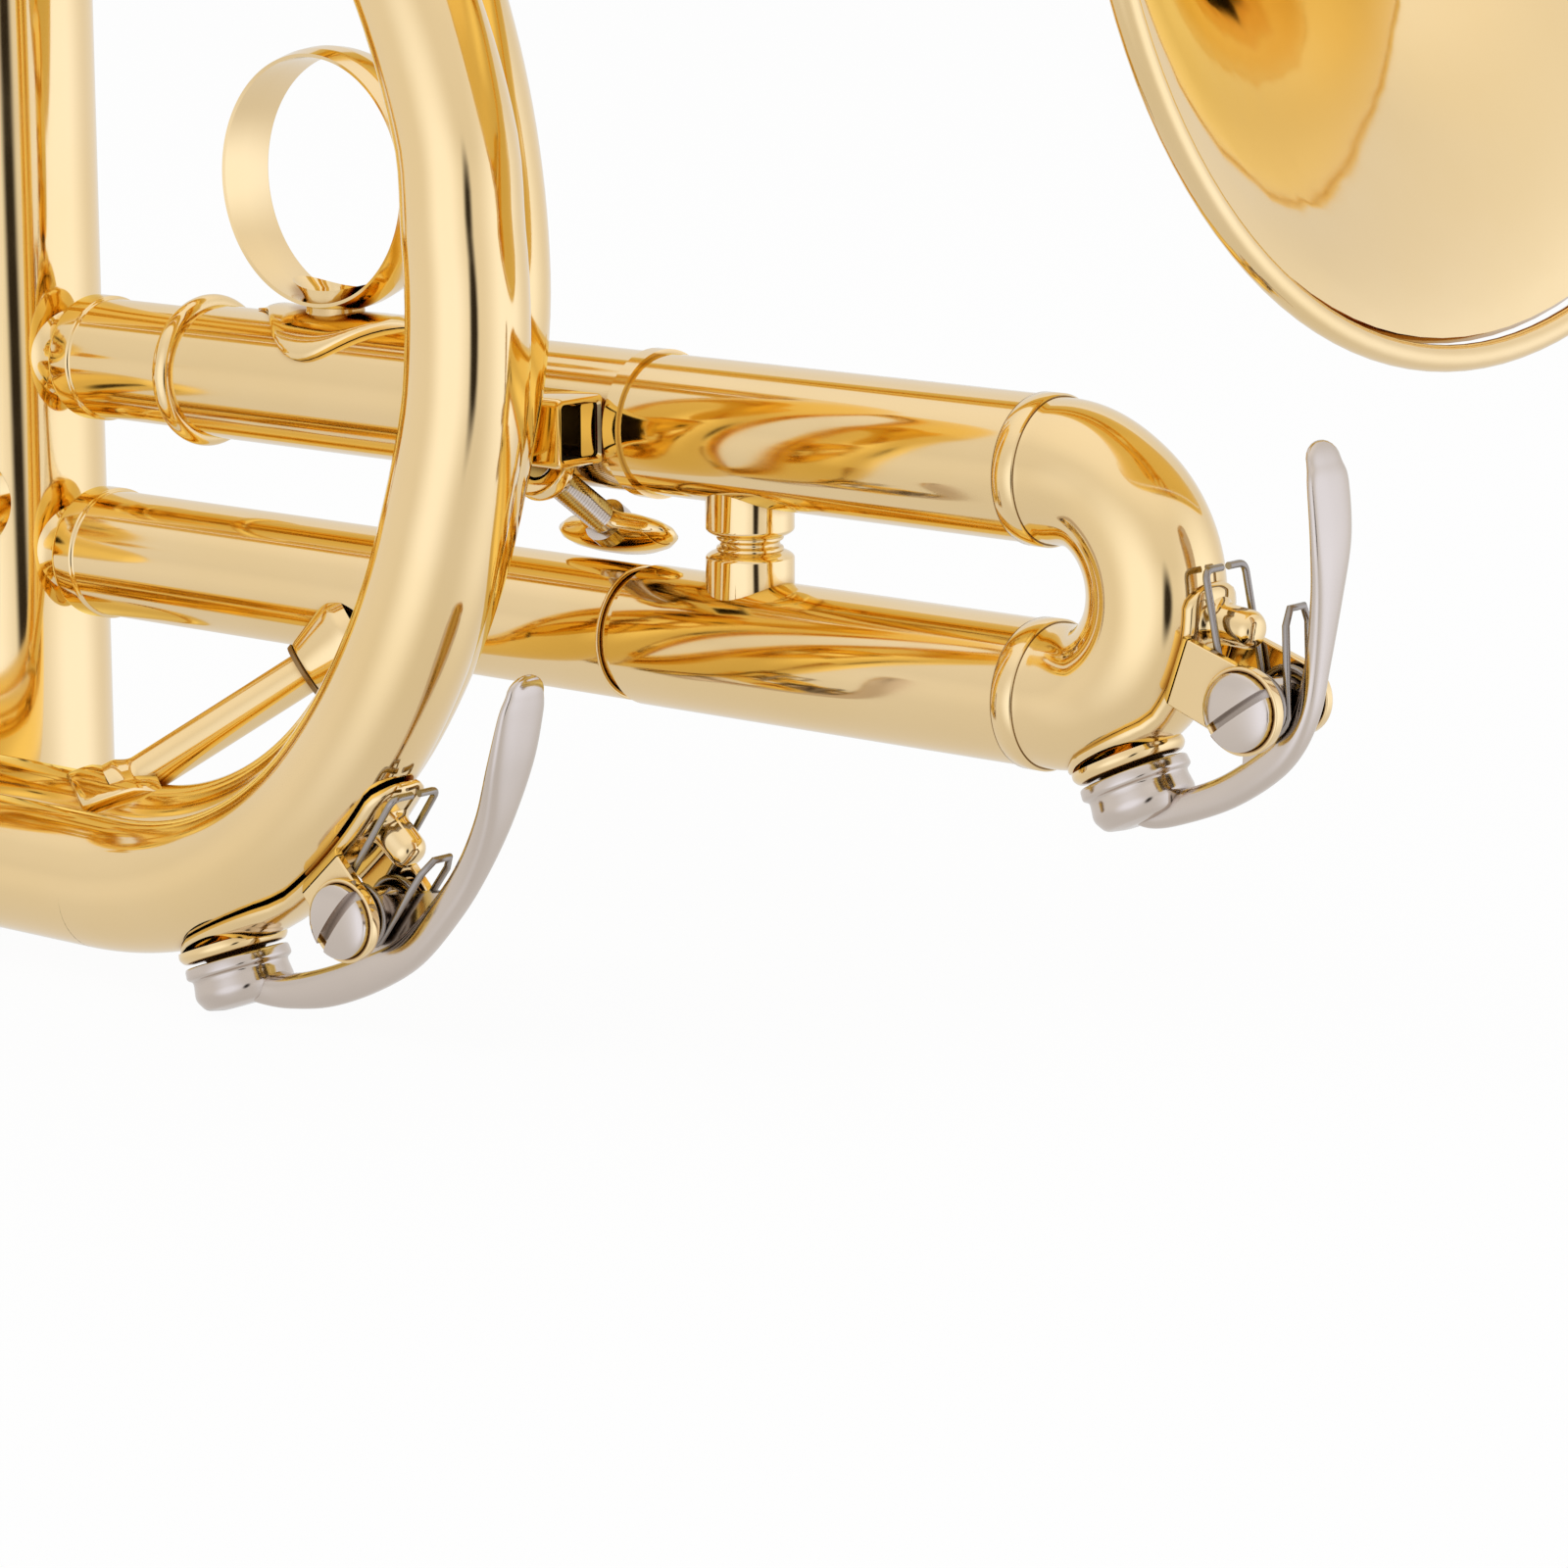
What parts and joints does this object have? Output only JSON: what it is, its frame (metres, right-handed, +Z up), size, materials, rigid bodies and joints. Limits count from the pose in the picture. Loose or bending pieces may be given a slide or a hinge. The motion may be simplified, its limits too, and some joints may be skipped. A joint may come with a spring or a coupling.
{
  "type": "cornet",
  "caption": "Short-model brass cornet with piston valves, wrapped front bows, a third slide with a finger ring, lyre socket and sprung water keys, and a flared bell.",
  "frame": {"origin": "centre of the mouth of the mouthpiece receiver, on its bore", "axes": "+X forward along the leadpipe towards the bell, +Y to the player's left, +Z up along the valves"},
  "size_m": [0.3273, 0.1428, 0.1824],
  "materials": {
    "cork": "sealing pad",
    "lacquered_brass": "clear gold lacquer over polished brass",
    "nickel_silver": "polished nickel silver",
    "pearl": "pearl inlay",
    "piston_metal": "fine ground nickel alloy",
    "plated_steel": "nickel plated, polished",
    "spring_steel": "bright drawn wire"
  },
  "bodies": {
    "body": {"mouthpiece_receiver": "lacquered_brass", "leadpipe": "lacquered_brass", "front_bow": "lacquered_brass", "tuning_outer_lower": "lacquered_brass", "tuning_outer_upper": "lacquered_brass", "bell_branch": "lacquered_brass", "second_bow": "lacquered_brass", "bell_crook": "lacquered_brass", "bell": "lacquered_brass", "bell_rim": "lacquered_brass", "valve_casing_1": "lacquered_brass", "valve_casing_2": "lacquered_brass", "valve_casing_3": "lacquered_brass", "valve_knuckles": "lacquered_brass", "bottom_caps": "lacquered_brass", "top_caps": "lacquered_brass", "third_inner_upper": "nickel_silver", "third_outer_lower": "lacquered_brass", "side_brace": "lacquered_brass", "small_outer_tubes": "lacquered_brass", "bell_braces": "lacquered_brass", "finger_hook": "lacquered_brass", "water_key_saddle_1": "lacquered_brass", "water_key_screw_1": "plated_steel", "water_key_spring_1": "spring_steel", "valve_spring_1": "spring_steel", "valve_spring_2": "spring_steel", "valve_spring_3": "spring_steel"},
    "valve_1": {"piston_1": "piston_metal", "valve_stem_1": "lacquered_brass", "button_pearl_1": "pearl"},
    "valve_2": {"piston_2": "piston_metal", "valve_stem_2": "lacquered_brass", "button_pearl_2": "pearl"},
    "valve_3": {"piston_3": "piston_metal", "valve_stem_3": "lacquered_brass", "button_pearl_3": "pearl"},
    "tuning_slide": {"tuning_slide_tubes": "lacquered_brass", "tuning_bow": "lacquered_brass", "tuning_brace": "lacquered_brass"},
    "first_slide": {"first_slide_tubes": "lacquered_brass", "first_bow": "lacquered_brass", "thumb_saddle": "lacquered_brass"},
    "second_slide": {"second_slide_tubes": "lacquered_brass", "second_slide_bow": "lacquered_brass"},
    "third_slide": {"third_sleeve_upper": "lacquered_brass", "third_inner_lower": "nickel_silver", "third_sleeve_lower": "lacquered_brass", "third_bow": "lacquered_brass", "third_brace_spool": "lacquered_brass", "finger_ring": "lacquered_brass", "lyre_holder": "lacquered_brass", "water_key_saddle_2": "lacquered_brass", "water_key_screw_2": "plated_steel", "water_key_spring_2": "spring_steel"},
    "lyre_clamp_screw": {"lyre_screw": "lacquered_brass"},
    "water_key_1": {"water_key_lever_1": "plated_steel", "water_key_cork_1": "cork"},
    "water_key_2": {"water_key_lever_2": "plated_steel", "water_key_cork_2": "cork"}
  },
  "joints": [
    {"name": "valve_1_press", "type": "slide", "parent": "body", "child": "valve_1", "axis": [0, 0, -1], "range_m": [0, 0.016], "stiffness_N_per_m": 150, "springref_m": -0.02, "deforming": ["valve_spring_1"]},
    {"name": "valve_2_press", "type": "slide", "parent": "body", "child": "valve_2", "axis": [0, 0, -1], "range_m": [0, 0.016], "stiffness_N_per_m": 150, "springref_m": -0.02, "deforming": ["valve_spring_2"]},
    {"name": "valve_3_press", "type": "slide", "parent": "body", "child": "valve_3", "axis": [0, 0, -1], "range_m": [0, 0.016], "stiffness_N_per_m": 150, "springref_m": -0.02, "deforming": ["valve_spring_3"]},
    {"name": "tuning_slide_pull", "type": "slide", "parent": "body", "child": "tuning_slide", "axis": [-1, 0, 0], "range_m": [0, 0.02]},
    {"name": "first_slide_pull", "type": "slide", "parent": "body", "child": "first_slide", "axis": [-1, 0, 0], "range_m": [0, 0.02]},
    {"name": "second_slide_pull", "type": "slide", "parent": "body", "child": "second_slide", "axis": [0, -1, 0], "range_m": [0, 0.006]},
    {"name": "third_slide_pull", "type": "slide", "parent": "body", "child": "third_slide", "axis": [1, 0, 0], "range_m": [0, 0.03]},
    {"name": "lyre_screw_turn", "type": "hinge", "parent": "third_slide", "child": "lyre_clamp_screw", "pos_m": [0.2444, 0.0233, -0.074], "axis": [0, 0.8211, -0.5708], "range_deg": [-8, 8]},
    {"name": "water_key_1_open", "type": "hinge", "parent": "body", "child": "water_key_1", "pos_m": [0.2451, 0, -0.1122], "axis": [0, -1, 0], "range_deg": [0, 10], "stiffness_Nm_per_rad": 0.06, "springref_deg": -28.65},
    {"name": "water_key_2_open", "type": "hinge", "parent": "third_slide", "child": "water_key_2", "pos_m": [0.321, 0.033, -0.0884], "axis": [0, -1, 0], "range_deg": [0, 10], "stiffness_Nm_per_rad": 0.06, "springref_deg": -28.65}
  ]
}
